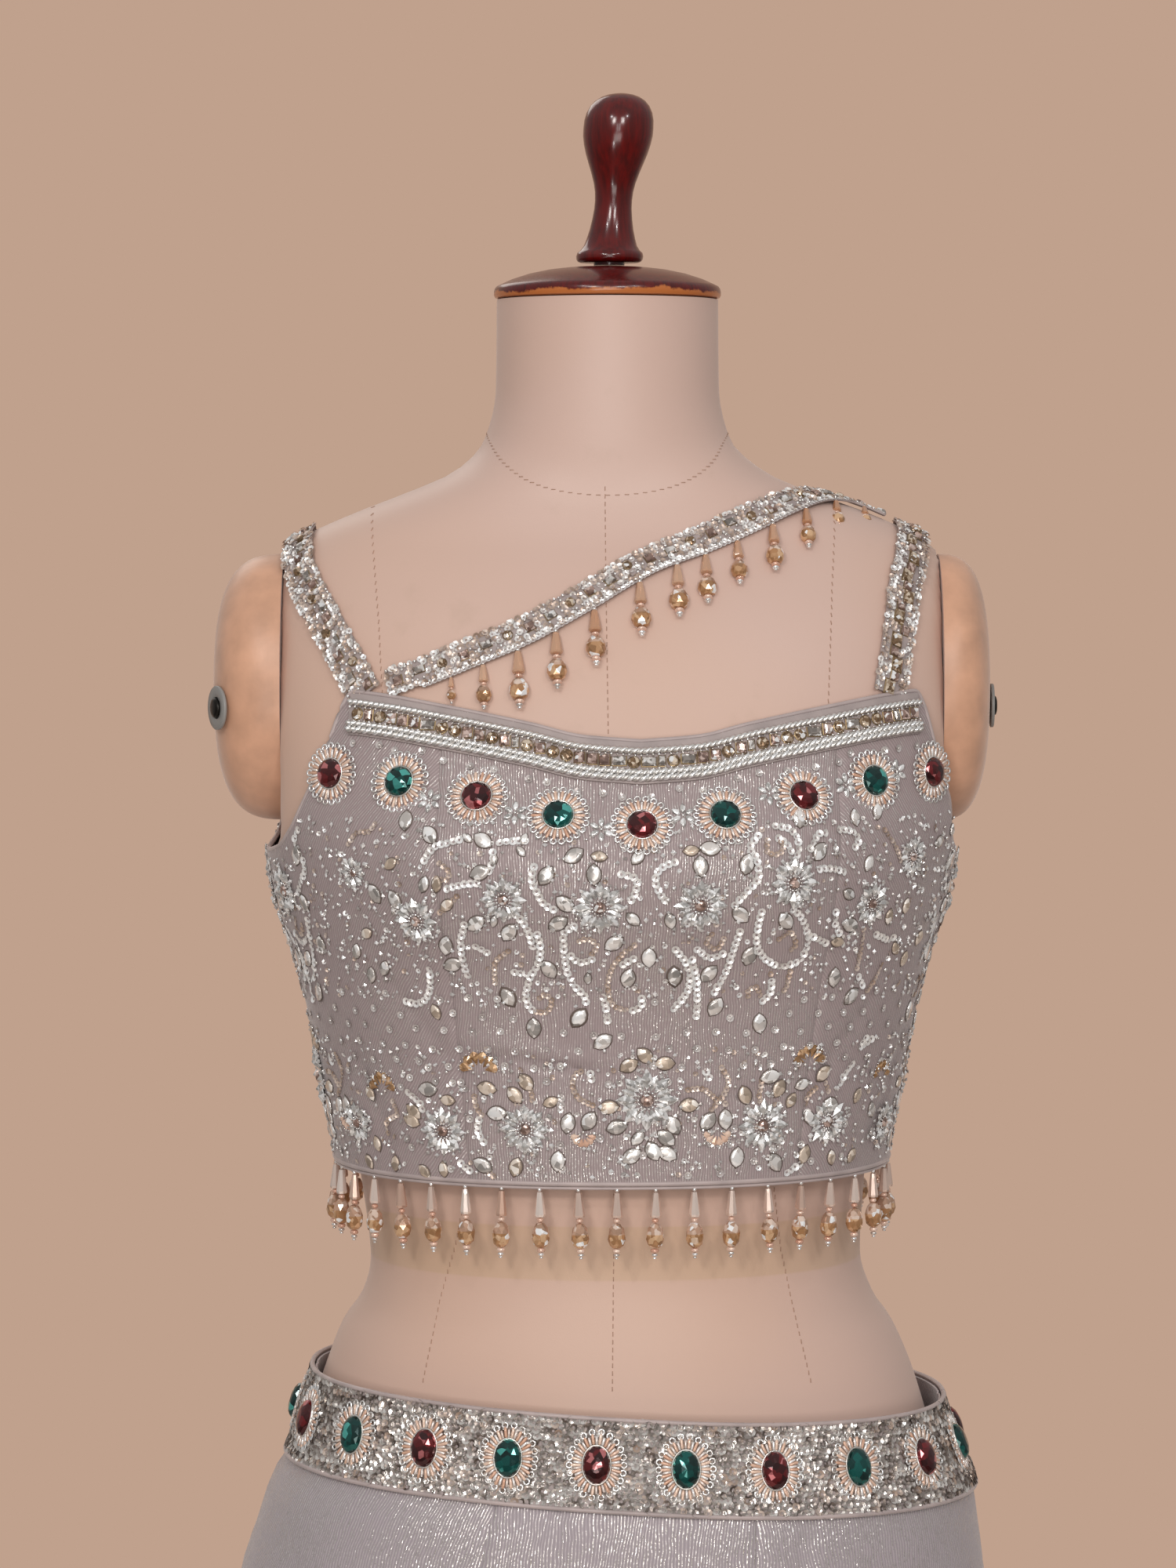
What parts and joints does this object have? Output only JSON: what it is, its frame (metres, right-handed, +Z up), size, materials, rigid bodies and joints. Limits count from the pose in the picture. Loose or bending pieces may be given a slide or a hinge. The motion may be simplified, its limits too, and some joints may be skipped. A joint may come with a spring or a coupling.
{
  "type": "mermaid lehenga on dress form",
  "caption": "Beaded strapped blouse, jewelled belt and floor-length mermaid skirt on a limbless dress form with a round-footed stand.",
  "frame": {"origin": "on the floor, at the middle of the stand's foot and under the pole's axis", "axes": "+Z up, the front towards -Y, the viewer's right towards +X"},
  "size_m": [0.793, 0.8218, 1.6309],
  "materials": {
    "lurex_cloth": "mauve-grey ribbed cloth with silver metallic thread and a soft shimmer",
    "sequin_cloth": "cloth covered with silver cup sequins and set stones",
    "champagne_beads": "clear champagne-peach beads, polished",
    "form_jersey": "peach stretch jersey over padding, matt",
    "arm_satin": "orange-peach satin",
    "mahogany": "turned, dark mahogany stain, gloss varnish worn at the cap's rim",
    "screw_steel": "dull zinc-plated steel",
    "stand_iron": "black, semi-matt"
  },
  "bodies": {
    "root": {"form_torso": "form_jersey", "neck_cap": "mahogany", "finial": "mahogany", "arm_cap_left": "arm_satin", "arm_cap_right": "arm_satin", "arm_screw_left": "screw_steel", "arm_screw_right": "screw_steel", "stand_pole": "stand_iron", "stand_base": "stand_iron", "blouse_front_centre": "lurex_cloth", "blouse_front_left": "lurex_cloth", "blouse_front_right": "lurex_cloth", "blouse_back_left": "lurex_cloth", "blouse_back_right": "lurex_cloth", "neck_band_front": "sequin_cloth", "neck_band_back_left": "sequin_cloth", "neck_band_back_right": "sequin_cloth", "strap_left": "sequin_cloth", "strap_right": "sequin_cloth", "strap_diagonal": "sequin_cloth", "diagonal_drops": "champagne_beads", "hem_drops": "champagne_beads", "skirt_front_centre": "lurex_cloth", "skirt_front_left": "lurex_cloth", "skirt_front_right": "lurex_cloth", "skirt_back_left": "lurex_cloth", "skirt_back_right": "lurex_cloth", "skirt_back_centre": "lurex_cloth", "belt": "sequin_cloth"}
  },
  "joints": []
}
